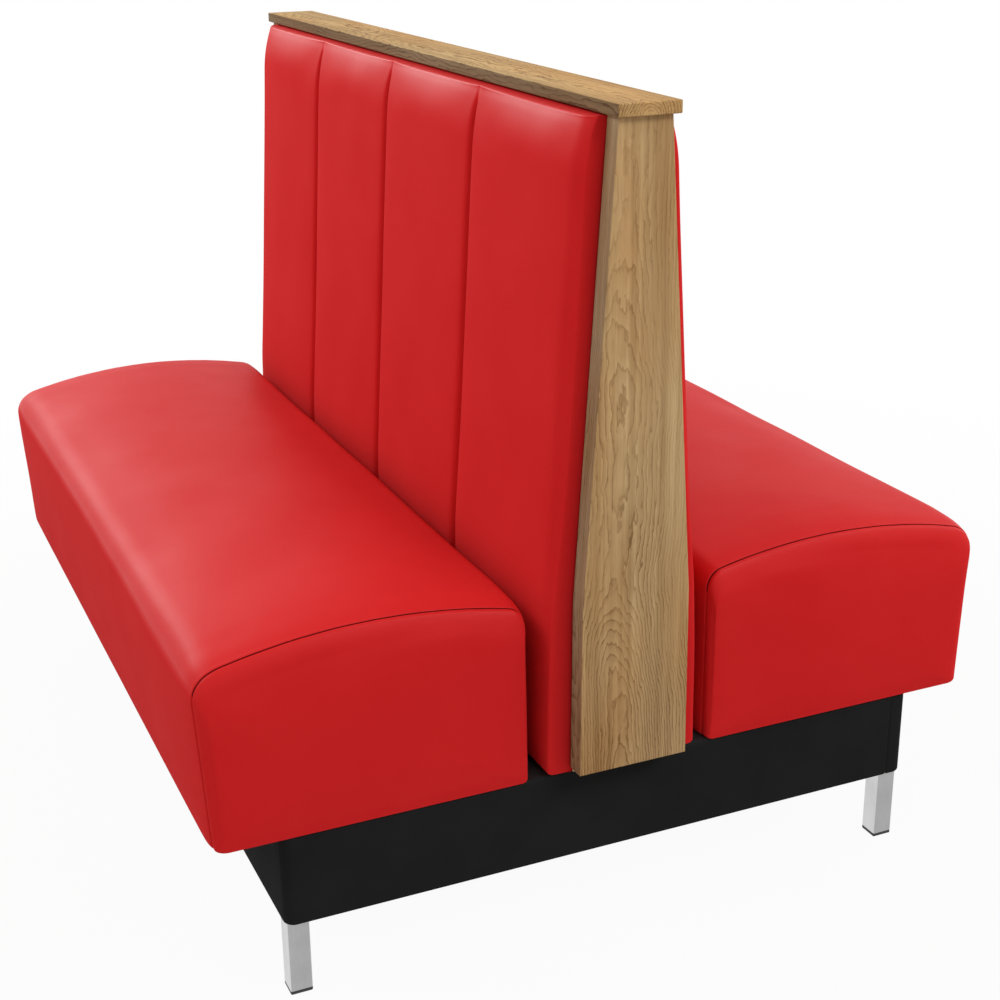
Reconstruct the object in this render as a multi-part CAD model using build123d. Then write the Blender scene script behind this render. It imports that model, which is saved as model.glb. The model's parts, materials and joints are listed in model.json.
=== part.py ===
"""Back to back booth seating: two upholstered seats and a tall double back on a shared plinth base.

Millimetres. X runs along the booth and the near end is +X, Y runs across it, Z is up.
Left is -Y and right is +Y. The origin is on the floor under the middle of the booth.
"""
import math
import os

from build123d import *

# Overall sizes
overall_height = 1067.0
seat_length = 1219.0
overrun = 20.0

# Legs
leg_height = 105.0
leg_tube_size = 28.6
leg_tube_wall = 1.6
leg_tube_corner = 2.0
leg_top_plate = 4.0
leg_end_setback = 10.0
leg_side_setback = 4.0
foot_flange = 5.0
foot_insert_height = 15.0
foot_insert_clearance = 0.1
foot_edge_round = 1.0
hanger_bolt_radius = 5.0
hanger_bolt_length = 70.0
hanger_bolt_drop = 6.0

# Base
base_end_setback = 6.5
base_front_setback = 83.0
base_height = 126.0
base_corner_round = 15.0
base_deck_thickness = 18.0
base_rail_thickness = 18.0
base_post_size = 60.0
base_cover_thickness = 1.5
base_cover_return = 45.0
base_cover_bolt_clearance = 0.5
base_cover_edge_round = 1.2

# Seats
clean_out_gap = 17.0
seat_foot_depth = 411.0
seat_front_lean = 13.0
seat_crown_height = 266.0
seat_crown_front_drop = 33.0
seat_crown_rear_drop = 24.0
seat_crown_peak_share = 0.47
seat_front_top_round = 28.0
seat_rear_top_round = 22.0
seat_bottom_round = 7.0
seat_cover_thickness = 1.5
seat_seam_setback = 17.0
seat_seam_depth = 4.0
seat_seam_fade = 55.0
seat_end_round = 12.0
seat_crown_swell = 6.0
seat_cover_fold = 40.0
dust_cover_thickness = 0.8
seat_rail_thickness = 18.0
seat_board_thickness = 12.0
seat_frame_height = 145.5
seat_side_padding = 12.0
seat_rib_thickness = 38.0

# Back
cap_end_overhang = 10.0
cap_side_overhang = 6.0
cap_thickness = 15.0
cap_edge_round = 1.5
end_cap_thickness = 27.0
end_cap_top_width = 68.0
end_cap_knee_width = 146.0
end_cap_foot_width = 150.0
end_cap_foot_lift = 13.0
end_cap_edge_round = 1.0
knee_rise = 239.0
back_end_overhang = 5.5
back_board_thickness = 18.0
back_top_rail_height = 30.0
back_bottom_rail_height = 38.0
back_stud_thickness = 38.0
back_panel_thickness = 6.0
back_panel_setback = 4.0

# Back pads
pad_end_clearance = 3.0
pad_channels = 4
pad_crown_depth = 36.0
pad_seam_depth = 26.0
pad_end_round = 18.0
pad_foot_lift = 5.0
pad_head_clearance = 2.0
pad_top_round_share = 0.8
pad_bottom_round_share = 0.25
pad_bulge_power = 6
pad_cover_thickness = 1.5

# Fasteners
lag_shank_radius = 4.0
lag_shank_grip = 45.0
lag_head_height = 5.5
lag_head_radius = 7.5
lag_washer_radius = 12.0
lag_washer_height = 2.0
lag_hole_clearance = 0.5
seat_lag_rear_margin = 66.0
seat_lag_side_margin = 52.0
back_lag_end_margin = 153.0
back_lag_count = 4
trim_screw_length = 40.0
trim_screw_radius = 2.25
trim_screw_head_radius = 4.4
trim_screw_head_height = 3.0
cap_screw_end_margin = 115.0
cap_screw_count = 5
end_cap_screw_margin = 100.0
end_cap_screw_count = 4

# Places along the length of a seat end, from the end face to the seam, with how far the form is drawn in
seat_end_shares = ((0.0, 1.0), (0.08, 0.62), (0.27, 0.3), (0.55, 0.08), (0.8, 0.04))
# Places past the seam, with how much of the seam's draw is left
seat_fade_shares = ((0.0, 1.0), (0.06, 0.62), (0.2, 0.3), (0.5, 0.08), (1.0, 0.0))
# Places round the ends of a back pad
pad_end_shares = (0.0, 0.08, 0.25, 0.55, 1.0)
# Places across one channel of a back pad
channel_shares = (0.0, 0.015, 0.05, 0.12, 0.25, 0.5, 0.75, 0.88, 0.95, 0.985)

# Heights and planes that several pieces share
base_top = leg_height + base_height
knee_height = base_top + knee_rise
seat_rear_offset = end_cap_foot_width / 2 - back_panel_setback + pad_crown_depth + clean_out_gap
base_length = seat_length - 2 * base_end_setback
base_depth = 2 * (seat_rear_offset + seat_foot_depth - base_front_setback)
back_length = seat_length + 2 * back_end_overhang
pad_length = back_length - 2 * pad_end_clearance
cap_length = back_length + 2 * end_cap_thickness + 2 * cap_end_overhang
cap_width = end_cap_top_width + 2 * cap_side_overhang
seat_rib_x = seat_length / 4
back_stud_x = back_length / 6
base_cross_rail_x = base_length / 6
seat_lag_inner_offset = seat_rear_offset + seat_lag_rear_margin
seat_lag_outer_offset = base_depth / 2 - seat_lag_side_margin
deck_under = base_top - base_deck_thickness
base_inner_length = base_length - 2 * base_cover_thickness
base_inner_depth = base_depth - 2 * base_cover_thickness
base_frame_under = leg_height + base_cover_thickness
cap_under = overall_height - cap_thickness
end_cap_under = base_top + end_cap_foot_lift
back_frame_setback = back_panel_setback + back_panel_thickness
seat_frame_under = base_top + seat_cover_thickness
seat_board_top = seat_frame_under + seat_frame_height
seat_board_under = seat_board_top - seat_board_thickness
seat_frame_rear = seat_rear_offset + seat_side_padding
seat_frame_front = seat_rear_offset + seat_foot_depth - seat_side_padding
seat_frame_half = seat_length / 2 - seat_side_padding
leg_x = base_length / 2 - leg_end_setback - leg_tube_size / 2
leg_y = base_depth / 2 - leg_side_setback - leg_tube_size / 2
ends = {"near": 1, "far": -1}
sides = {"left": -1, "right": 1}


def span_box(x0, x1, y0, y1, z0, z1):
    """A box between two corners given in any order."""
    size = (abs(x1 - x0), abs(y1 - y0), abs(z1 - z0))
    return Pos((x0 + x1) / 2, (y0 + y1) / 2, (z0 + z1) / 2) * Box(*size)


def upright(x, y, z0, z1, radius):
    """A cylinder that stands on z0 and ends at z1."""
    return Pos(x, y, (z0 + z1) / 2) * Cylinder(radius, z1 - z0)


def mirrored(shape, side):
    """The right hand shape for the right side, and its mirror image for the left."""
    if side > 0:
        return shape
    if isinstance(shape, list):
        return [mirror(solid, about=Plane.XZ) for solid in shape]
    return mirror(shape, about=Plane.XZ)


def half_width(z):
    """Half the width of the tapered end cap at a height: a raked top over an almost upright foot."""
    if z >= knee_height:
        share = (z - knee_height) / (cap_under - knee_height)
        return (end_cap_knee_width + (end_cap_top_width - end_cap_knee_width) * share) / 2
    share = (z - end_cap_under) / (knee_height - end_cap_under)
    return (end_cap_foot_width + (end_cap_knee_width - end_cap_foot_width) * share) / 2


def rear_points(setback, z0, z1):
    """Points up the line that lies a setback inside the end cap's edge."""
    heights = [z0, z1]
    if z0 < knee_height < z1:
        heights.insert(1, knee_height)
    return [(half_width(z) - setback, z) for z in heights]


def tapered_board(x0, x1, setback, z0, z1):
    """A board across the back with both edges on the end cap's taper."""
    right = rear_points(setback, z0, z1)
    left = [(-y, z) for y, z in reversed(right)]
    outline = make_face(Polyline(*right, *left, close=True))
    return Pos(x0, 0, 0) * extrude(Plane.YZ * outline, x1 - x0)


def spread(count, first, last):
    """Evenly spread places from the first to the last."""
    return [first + (last - first) * i / (count - 1) for i in range(count)]


def leg_places():
    """Name, x and y of each leg."""
    return [
        (f"{end}_{side}", ends[end] * leg_x, sides[side] * leg_y)
        for end in ends
        for side in sides
    ]


def seat_lag_places():
    """Centres of the screws that hold both seats down on the base."""
    return [
        (ends[end] * seat_rib_x, sides[side] * offset)
        for side in sides
        for end in ends
        for offset in (seat_lag_inner_offset, seat_lag_outer_offset)
    ]


def back_lag_places():
    """Centres of the screws that hold the back down on the base."""
    reach = base_length / 2 - back_lag_end_margin
    return [(x, 0) for x in spread(back_lag_count, -reach, reach)]


# Legs


def leg_tube(x, y):
    """A square tube with a threaded plate welded across its top."""
    outer = Pos(x, y, foot_flange) * extrude(
        RectangleRounded(leg_tube_size, leg_tube_size, leg_tube_corner), leg_height - foot_flange
    )
    bore = leg_tube_size - 2 * leg_tube_wall
    outer -= span_box(
        x - bore / 2, x + bore / 2, y - bore / 2, y + bore / 2, foot_flange - overrun, leg_height - leg_top_plate
    )
    return outer - upright(x, y, leg_height - leg_top_plate - overrun, leg_height + overrun, hanger_bolt_radius)


def leg_foot_plug(x, y):
    """A square plug: a flange under the tube and an insert inside it."""
    flange = Pos(x, y, 0) * extrude(
        RectangleRounded(leg_tube_size, leg_tube_size, leg_tube_corner), foot_flange
    )
    flange = fillet(flange.edges().group_by(Axis.Z)[0], foot_edge_round)
    insert = leg_tube_size - 2 * leg_tube_wall - 2 * foot_insert_clearance
    return flange + span_box(
        x - insert / 2, x + insert / 2, y - insert / 2, y + insert / 2, 0, foot_flange + foot_insert_height
    )


def leg_hanger_bolts():
    """One double ended bolt in each leg, from inside the tube up into the corner post."""
    bottom = leg_height - leg_top_plate - hanger_bolt_drop
    return [upright(x, y, bottom, bottom + hanger_bolt_length, hanger_bolt_radius) for _, x, y in leg_places()]


# Base


def base_block(inset, z0, z1):
    """The base's plan, drawn in by an inset, between two heights."""
    plan = RectangleRounded(base_length - 2 * inset, base_depth - 2 * inset, base_corner_round - inset)
    return Pos(0, 0, z0) * extrude(plan, z1 - z0)


def base_cover():
    """The skin round the base, folded under its bottom edge, with a hole for each leg bolt."""
    skin = base_block(0, leg_height, base_top)
    skin = fillet(skin.edges().group_by(Axis.Z)[0], base_cover_edge_round)
    skin -= base_block(base_cover_thickness, base_frame_under, base_top + overrun)
    skin -= span_box(
        -base_length / 2 + base_cover_return,
        base_length / 2 - base_cover_return,
        -base_depth / 2 + base_cover_return,
        base_depth / 2 - base_cover_return,
        leg_height - overrun,
        base_top,
    )
    for _, x, y in leg_places():
        radius = hanger_bolt_radius + base_cover_bolt_clearance
        skin -= upright(x, y, leg_height - overrun, base_frame_under + overrun, radius)
    return skin


def base_corner_post(end, side):
    """A laminated block in a corner of the base, drilled for its leg's bolt."""
    x1, y1 = end * base_inner_length / 2, side * base_inner_depth / 2
    corner = span_box(x1 - end * base_post_size, x1, y1 - side * base_post_size, y1, base_frame_under, deck_under)
    post = corner & base_block(base_cover_thickness, base_frame_under, deck_under)
    bolt_top = leg_height - leg_top_plate - hanger_bolt_drop + hanger_bolt_length
    return post - upright(end * leg_x, side * leg_y, leg_height, bolt_top, hanger_bolt_radius)


def base_side_rail(side):
    """A rail along the base between two corner posts."""
    reach = base_inner_length / 2 - base_post_size
    y1 = side * base_inner_depth / 2
    return span_box(-reach, reach, y1 - side * base_rail_thickness, y1, base_frame_under, deck_under)


def base_end_rail(end):
    """A rail across the base's end between two corner posts."""
    reach = base_inner_depth / 2 - base_post_size
    x1 = end * base_inner_length / 2
    return span_box(x1 - end * base_rail_thickness, x1, -reach, reach, base_frame_under, deck_under)


def base_cross_rail(end):
    """A rail across the middle of the base, between the side rails."""
    reach = base_inner_depth / 2 - base_rail_thickness
    x = end * base_cross_rail_x
    half = base_rail_thickness / 2
    return span_box(x - half, x + half, -reach, reach, base_frame_under, deck_under)


def base_deck():
    """The board that closes the base's top and carries the seats and the back."""
    deck = base_block(base_cover_thickness, deck_under, base_top)
    for x, y in seat_lag_places() + back_lag_places():
        deck -= upright(x, y, deck_under - overrun, base_top + overrun, lag_shank_radius + lag_hole_clearance)
    return deck


# Seats


def seat_section(x, inset, draw, swell):
    """The seat's rounded outline across its depth, at one place along its length."""
    rear = seat_rear_offset + draw + inset
    foot = seat_rear_offset + seat_foot_depth - draw - inset
    front = foot + seat_front_lean
    bottom = base_top + inset
    peak = base_top + seat_crown_height - seat_crown_swell - draw - inset + swell
    front_top = peak - seat_crown_front_drop
    rear_top = peak - seat_crown_rear_drop
    peak_y = rear + (front - rear) * seat_crown_peak_share
    rear_side = Line((rear, rear_top), (rear, bottom))
    underside = Line((rear, bottom), (foot, bottom))
    front_side = Line((foot, bottom), (front, front_top))
    crown = ThreePointArc((front, front_top), (peak_y, peak), (rear, rear_top))
    face = make_face([rear_side, underside, front_side, crown])
    face = fillet(face.vertices().group_by(Axis.Y)[0], seat_bottom_round - inset)
    front_corner = face.vertices().sort_by(Axis.X)[-1]
    face = fillet(front_corner, seat_front_top_round - inset)
    rear_corner = face.vertices().group_by(Axis.X)[0].sort_by(Axis.Y)[-1]
    face = fillet(rear_corner, seat_rear_top_round - inset)
    return Plane(origin=(x, 0, 0), x_dir=(0, 1, 0), z_dir=(1, 0, 0)) * face


def seat_stations(inset):
    """Place, draw and swell of each section from one end face to the middle of the seat."""
    stations = []
    for place, share in seat_end_shares:
        distance = place * seat_seam_setback + (1 - place) * inset
        stations.append((distance, seat_end_round * share, 0))
    for place, share in seat_fade_shares:
        distance = seat_seam_setback + place * seat_seam_fade
        stations.append((distance, seat_seam_depth * share, seat_crown_swell * (1 - share)))
    return stations


def seat_form(inset):
    """The upholstered seat's soft outer form, or that form drawn in by a skin's thickness."""
    stations = seat_stations(inset)
    half = seat_length / 2
    near = [seat_section(half - distance, inset, draw, swell) for distance, draw, swell in stations]
    far = [seat_section(distance - half, inset, draw, swell) for distance, draw, swell in stations]
    return loft([*far, *reversed(near)], ruled=True)


def seat_cover(side):
    """The whole skin of one seat, folded under its edge."""
    skin = seat_form(0) - seat_form(seat_cover_thickness)
    rear, front = seat_rear_offset, seat_rear_offset + seat_foot_depth
    reach = seat_length / 2 - seat_cover_fold
    skin -= span_box(
        -reach, reach, rear + seat_cover_fold, front - seat_cover_fold, base_top - overrun, seat_frame_under
    )
    return skin


def seat_frame_hole():
    """The space that the wooden frame fills inside the foam."""
    return span_box(
        -seat_frame_half,
        seat_frame_half,
        seat_frame_rear,
        seat_frame_front,
        base_top - overrun,
        seat_board_top,
    )


def seat_foam():
    """The foam block on the frame, with thin sides that run down round it."""
    return seat_form(seat_cover_thickness) - seat_frame_hole()


def seat_long_rail(y_outer, inward):
    """A rail along the front or the rear of the seat's frame."""
    y_inner = y_outer + inward * seat_rail_thickness
    return span_box(-seat_frame_half, seat_frame_half, y_outer, y_inner, seat_frame_under, seat_board_under)


def seat_cross_board(x0, x1):
    """A board across the seat's frame, between its two long rails."""
    y0 = seat_frame_rear + seat_rail_thickness
    y1 = seat_frame_front - seat_rail_thickness
    return span_box(x0, x1, y0, y1, seat_frame_under, seat_board_under)


def seat_end_rail(end):
    """The board that closes one end of the seat's frame."""
    x1 = end * seat_frame_half
    return seat_cross_board(x1 - end * seat_rail_thickness, x1)


def seat_ribs():
    """Two stout ribs that take the screws from the base."""
    ribs = []
    for end in ends.values():
        x = end * seat_rib_x
        rib = seat_cross_board(x - seat_rib_thickness / 2, x + seat_rib_thickness / 2)
        for offset in (seat_lag_inner_offset, seat_lag_outer_offset):
            rib -= upright(x, offset, base_top, base_top + lag_shank_grip, lag_shank_radius)
        ribs.append(rib)
    return ribs


def seat_board():
    """The plywood board on the seat's frame."""
    return span_box(
        -seat_frame_half,
        seat_frame_half,
        seat_frame_rear,
        seat_frame_front,
        seat_board_under,
        seat_board_top,
    )


def seat_dust_cover():
    """The thin cloth that closes the frame's underside, inside the cover's fold."""
    reach = seat_length / 2 - seat_cover_fold
    rear = seat_rear_offset + seat_cover_fold
    front = seat_rear_offset + seat_foot_depth - seat_cover_fold
    cloth = span_box(-reach, reach, rear, front, seat_frame_under - dust_cover_thickness, seat_frame_under)
    for x, y in seat_lag_places():
        if y > 0:
            cloth -= upright(x, y, base_top, seat_frame_under + overrun, lag_shank_radius + lag_hole_clearance)
    return cloth


def seat_pieces():
    """Every piece of the right hand seat, by the last part of its name."""
    cover = seat_cover(1)
    seam = seat_length / 2 - seat_seam_setback
    depth = seat_rear_offset + seat_foot_depth + seat_front_lean + overrun
    top = overall_height
    end_zone = span_box(seam, seam + seat_seam_setback + overrun, 0, depth, 0, top)
    return {
        "cover_wrap": cover & span_box(-seam, seam, 0, depth, 0, top),
        "cover_end_near": cover & end_zone,
        "cover_end_far": cover & mirror(end_zone, about=Plane.YZ),
        "foam": seat_foam(),
        "front_rail": seat_long_rail(seat_frame_front, -1),
        "rear_rail": seat_long_rail(seat_frame_rear, 1),
        "end_rail_near": seat_end_rail(1),
        "end_rail_far": seat_end_rail(-1),
        "ribs": seat_ribs(),
        "board": seat_board(),
        "dust_cover": seat_dust_cover(),
    }


# Back


def cap_board():
    """The thin board that runs over the top of the whole back."""
    board = Pos(0, 0, cap_under) * extrude(Rectangle(cap_length, cap_width), cap_thickness)
    board = fillet(board.edges(), cap_edge_round)
    for screw in cap_screws():
        board -= screw
    return board


def end_cap(end):
    """The tapered board that closes one end of the back."""
    inner = end * back_length / 2
    board = tapered_board(inner, inner + end * end_cap_thickness, 0, end_cap_under, cap_under)
    board = fillet(board.faces().sort_by(Axis.X)[-1 if end > 0 else 0].edges(), end_cap_edge_round)
    for screw in end_cap_screws(end):
        board -= screw
    return board


def back_end_board(end):
    """The upright frame board behind an end cap."""
    outer = end * back_length / 2
    board = tapered_board(outer - end * back_board_thickness, outer, back_frame_setback, base_top, cap_under)
    for screw in end_cap_screws(end):
        board -= screw
    return board


def back_between_boards(z0, z1):
    """A full length tapered member between the two end boards."""
    reach = back_length / 2 - back_board_thickness
    return tapered_board(-reach, reach, back_frame_setback, z0, z1)


def back_top_rail():
    """The rail under the cap board."""
    rail = back_between_boards(cap_under - back_top_rail_height, cap_under)
    for screw in cap_screws():
        rail -= screw
    return rail


def back_bottom_rail():
    """The rail that the back stands on, screwed down to the base."""
    rail = back_between_boards(base_top, base_top + back_bottom_rail_height)
    for x, y in back_lag_places():
        rail -= upright(x, y, base_top - overrun, base_top + lag_shank_grip, lag_shank_radius)
    return rail


def back_stud(end):
    """An upright between the bottom rail and the top rail."""
    x = end * back_stud_x
    z0 = base_top + back_bottom_rail_height
    z1 = cap_under - back_top_rail_height
    return tapered_board(x - back_stud_thickness / 2, x + back_stud_thickness / 2, back_frame_setback, z0, z1)


def back_panel():
    """The thin board behind the right hand pad, bent over the knee of the frame."""
    z0 = base_top + pad_foot_lift
    z1 = cap_under - pad_head_clearance
    outer = rear_points(back_panel_setback, z0, z1)
    inner = rear_points(back_frame_setback, z0, z1)
    outline = make_face(Polyline(*outer, *reversed(inner), close=True))
    return Pos(-back_length / 2, 0, 0) * extrude(Plane.YZ * outline, back_length)


# Back pads


def pad_section(x, depth, inset):
    """The pad's outline across its thickness: a flat rear, and a rounded head and foot."""
    z0 = base_top + pad_foot_lift + inset
    z1 = cap_under - pad_head_clearance - inset
    rear = rear_points(back_panel_setback, z0, z1)
    front = [(y + depth, z) for y, z in rear]
    outline = make_face(Polyline(*rear, *reversed(front), close=True))
    head = outline.vertices().group_by(Axis.Y)[-1].sort_by(Axis.X)[-1]
    outline = fillet(head, depth * pad_top_round_share)
    foot = outline.vertices().group_by(Axis.Y)[0].sort_by(Axis.X)[-1]
    outline = fillet(foot, depth * pad_bottom_round_share)
    return Plane(origin=(x, 0, 0), x_dir=(0, 1, 0), z_dir=(1, 0, 0)) * outline


def pad_depth(x):
    """How far the pad stands out at a place: a low dome on each channel, and rounded ends."""
    width = pad_length / pad_channels
    across = (x + pad_length / 2) / width % 1
    bulge = 1 - abs(2 * across - 1) ** pad_bulge_power
    depth = pad_seam_depth + (pad_crown_depth - pad_seam_depth) * bulge
    from_end = min(pad_length / 2 - abs(x), pad_end_round)
    end_drop = pad_end_round - math.sqrt(pad_end_round**2 - (pad_end_round - from_end) ** 2)
    return min(depth, pad_crown_depth - end_drop)


def pad_places():
    """The sections along the pad: the shares of each channel, with extra ones at the rounded ends."""
    width = pad_length / pad_channels
    places = [(i + share) * width - pad_length / 2 for i in range(pad_channels) for share in channel_shares]
    end_places = [pad_length / 2 - pad_end_round * share for share in pad_end_shares]
    places += end_places + [-x for x in end_places]
    return sorted(set(places))


def pad_form(inset):
    """The channelled pad's soft form, or that form drawn in by a skin's thickness."""
    sections = []
    for x in pad_places():
        closer = x * (1 - 2 * inset / pad_length)
        sections.append(pad_section(closer, pad_depth(x) - inset, inset))
    return loft(sections, ruled=True)


def back_foam():
    """The foam inside the right hand pad's cover."""
    return pad_form(pad_cover_thickness)


def back_cover():
    """The channelled skin of the right hand pad, open at the rear."""
    return pad_form(0) - pad_form(pad_cover_thickness)


# Fasteners


def lag_screw(x, y):
    """A screw with a washer head under the base's deck and its shank up in the wood above."""
    shank = upright(x, y, deck_under - lag_washer_height, base_top + lag_shank_grip, lag_shank_radius)
    washer = upright(x, y, deck_under - lag_washer_height, deck_under, lag_washer_radius)
    head = Pos(x, y, deck_under - lag_washer_height - lag_head_height) * extrude(
        RegularPolygon(lag_head_radius, 6), lag_head_height
    )
    return shank + washer + head


def deck_lag_screws():
    """The screws that hold the seats and the back down on the base."""
    return [lag_screw(x, y) for x, y in seat_lag_places() + back_lag_places()]


def trim_screw(plane):
    """A countersunk screw whose head lies flush at the plane, pointing along it."""
    head = plane * Pos(0, 0, trim_screw_head_height / 2) * Cone(
        trim_screw_head_radius, trim_screw_radius, trim_screw_head_height
    )
    shank = plane * Pos(0, 0, trim_screw_length / 2) * Cylinder(trim_screw_radius, trim_screw_length)
    return head + shank


def cap_screws():
    """The screws up through the top rail into the cap board."""
    z = cap_under - back_top_rail_height
    reach = back_length / 2 - cap_screw_end_margin
    return [trim_screw(Plane(origin=(x, 0, z))) for x in spread(cap_screw_count, -reach, reach)]


def end_cap_screws(end):
    """The screws from inside the back out into one end cap."""
    x = end * (back_length / 2 - back_board_thickness)
    low = end_cap_under + end_cap_screw_margin
    high = cap_under - end_cap_screw_margin
    heights = spread(end_cap_screw_count, low, high)
    return [trim_screw(Plane(origin=(x, 0, z), z_dir=(end, 0, 0))) for z in heights]


def trim_screws():
    """All the countersunk screws of the wooden trim."""
    return [*cap_screws(), *end_cap_screws(1), *end_cap_screws(-1)]


def all_pieces():
    """Every node of the booth, by name."""
    pieces = {
        "base_cover": base_cover(),
        "base_deck": base_deck(),
        "leg_hanger_bolts": leg_hanger_bolts(),
        "deck_lag_screws": deck_lag_screws(),
        "trim_screws": trim_screws(),
        "cap_board": cap_board(),
        "back_top_rail": back_top_rail(),
        "back_bottom_rail": back_bottom_rail(),
    }
    for name, x, y in leg_places():
        pieces[f"leg_tube_{name}"] = leg_tube(x, y)
        pieces[f"leg_foot_{name}"] = leg_foot_plug(x, y)
    for end_name, end in ends.items():
        pieces[f"base_end_rail_{end_name}"] = base_end_rail(end)
        pieces[f"base_cross_rail_{end_name}"] = base_cross_rail(end)
        pieces[f"back_end_board_{end_name}"] = back_end_board(end)
        pieces[f"back_stud_{end_name}"] = back_stud(end)
        pieces[f"end_cap_{end_name}"] = end_cap(end)
        for side_name, side in sides.items():
            pieces[f"base_corner_post_{end_name}_{side_name}"] = base_corner_post(end, side)
    right_back = {"back_panel": back_panel(), "back_foam": back_foam(), "back_cover": back_cover()}
    right_seat = seat_pieces()
    for side_name, side in sides.items():
        pieces[f"base_side_rail_{side_name}"] = base_side_rail(side)
        for part_name, shape in right_back.items():
            pieces[f"{part_name}_{side_name}"] = mirrored(shape, side)
        for part_name, shape in right_seat.items():
            pieces[f"seat_{side_name}_{part_name}"] = mirrored(shape, side)
    return pieces


def write_pieces():
    """Write each node to its own file."""
    os.makedirs("parts", exist_ok=True)
    for name, shape in all_pieces().items():
        solids = list(shape) if isinstance(shape, list) else [shape]
        node = Compound(children=[Compound(solid.solids()) for solid in solids]) if len(solids) > 1 else solids[0]
        export_step(node, f"parts/{name}.step")


write_pieces()
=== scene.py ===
"""Looks for the back to back booth: soft vinyl, oak grain, brushed legs, light and camera."""
import itertools
import json
import math

import bpy
import numpy as np
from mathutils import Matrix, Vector


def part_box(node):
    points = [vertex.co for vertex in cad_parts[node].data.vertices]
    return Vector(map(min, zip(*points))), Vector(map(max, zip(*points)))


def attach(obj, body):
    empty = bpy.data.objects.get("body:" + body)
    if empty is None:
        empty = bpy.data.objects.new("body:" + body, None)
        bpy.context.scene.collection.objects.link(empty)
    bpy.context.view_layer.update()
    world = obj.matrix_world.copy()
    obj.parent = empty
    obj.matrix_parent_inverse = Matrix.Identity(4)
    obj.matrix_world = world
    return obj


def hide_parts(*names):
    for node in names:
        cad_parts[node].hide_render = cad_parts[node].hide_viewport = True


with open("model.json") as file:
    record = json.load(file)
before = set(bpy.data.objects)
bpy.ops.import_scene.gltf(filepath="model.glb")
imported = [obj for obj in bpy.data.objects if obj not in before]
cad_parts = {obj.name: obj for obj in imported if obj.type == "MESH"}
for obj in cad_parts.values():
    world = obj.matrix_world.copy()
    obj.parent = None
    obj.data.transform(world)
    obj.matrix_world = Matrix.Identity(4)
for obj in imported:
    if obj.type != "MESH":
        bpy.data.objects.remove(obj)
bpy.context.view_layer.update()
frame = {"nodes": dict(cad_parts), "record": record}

MM = 0.001
SIDES = {"left": -1, "right": 1}
ENDS = {"near": 1, "far": -1}

# The seat, measured from its nodes
WRAP_LOW, WRAP_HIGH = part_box("seat_right_cover_wrap")
SEAM_X = WRAP_HIGH.x
SEAT_END_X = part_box("seat_right_cover_end_near")[1].x
SEAT_BOTTOM = WRAP_LOW.z
SEAT_REAR = WRAP_LOW.y
SEAT_PEAK = WRAP_HIGH.z
SEAT_LEAN = 13.0 * MM
SEAT_FOOT = SEAT_REAR + 411.0 * MM
SEAT_MIDDLE_Y = (SEAT_REAR + SEAT_FOOT) / 2
SEAT_FRONT_DROP = 33.0 * MM
SEAT_REAR_DROP = 24.0 * MM
SEAT_PEAK_SHARE = 0.47
SEAT_FRONT_ROUND = 30.0 * MM
SEAT_REAR_ROUND = 24.0 * MM
SEAT_FOOT_ROUND = 5.0 * MM
SEAT_SWELL = 6.0 * MM
SEAM_DRAW = 3.0 * MM
SEAM_FADE = 55.0 * MM
SEAM_LIP = 7.0 * MM
SEAM_GAP = 0.8 * MM
# How far below the crown the seam lips take the painted seam shade
SEAM_PAINTED_SHADE_REACH = 62.0 * MM
SEAM_CLOSED = 0.88
LIP_ROUND = 1.6 * MM
END_ROUND = 13.0 * MM
END_REAR_ROUND = 6.0 * MM
END_DROP = 15.0 * MM
END_DROP_POWER = 0.62
END_DOME = 2.5 * MM
END_DOME_POWER = 0.8
END_TURN_DEG = (6, 88)
END_TURNS = 14
FACE_SCALES = (0.97, 0.92, 0.84, 0.73, 0.6, 0.45, 0.3, 0.15, 0.04)
FOLD = 40.0 * MM
ARC_POINTS = 61
CROWN_POINTS = 44
FOOT_POINTS = 5
FACE_POINTS = 22
REAR_CORNER_POINTS = 9
FRONT_CORNER_POINTS = 10
SEAM_FADE_POWER = 2.6
SEAM_FADE_RATE = 3.0
SWELL_REACH = 26.0 * MM
VINYL_THICKNESS = 1.2 * MM
FOAM_INSET = 4.0 * MM
FOAM_END_POWER = 12.0
FOAM_MIDDLE = 120.0 * MM
SEAM_PLACES = [v * MM for v in (0.05, 0.35, 0.9, 1.8, 3.0, 4.8, 7.5, 11, 15.5, 21, 28, 37, 48)]
PANEL_PLACES = [v * MM for v in (0.05, 0.35, 0.9, 1.8, 3.0, 4.4)]
PANEL_DRAW = 3.0 * MM
PANEL_STEP = 1.0 * MM
WRAP_STATIONS = 92
LIP_SHARES = (1.0, 0.75, 0.5, 0.25)
LIP_ROWS = 4
DUST_GRID = (61, 19)
DUST_WAVES = (14, 20)
DUST_SEED = 5
DUST_RISE = 0.3 * MM
DUST_SLACK = 0.15 * MM
CUT_BELOW = 20.0 * MM

# The cloth simulation, how much of it is kept, and the unevenness of stretched vinyl
SEAT_CAP = 3.5 * MM
PAD_CAP = 2.5 * MM
SEAT_HELD = (0.5 * MM, 4.0 * MM)
PAD_HELD = (0.9 * MM, 3.0 * MM)
CREASE_SHARE = 0.06
CREASE_PASSES = 22
CLOTH_FRAMES = 20
CLOTH_VALUES = dict(
    quality=6, mass=0.35, tension_stiffness=40, compression_stiffness=40, shear_stiffness=20,
    bending_stiffness=4, use_pressure=True, uniform_pressure_force=4, vertex_group_mass="held",
)
SLOW_RUFFLE = 0.7 * MM
SLOW_WAVES = (9, 11)
SLOW_REACH = 40.0 * MM
RUFFLE_RISE = 60.0 * MM
RUFFLE_MIDDLE = 100.0 * MM
RUFFLE_SEEDS = {"left": 23, "right": 11}
PUCKER = 0.35 * MM
PUCKER_WAVES = (250, 4)
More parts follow.
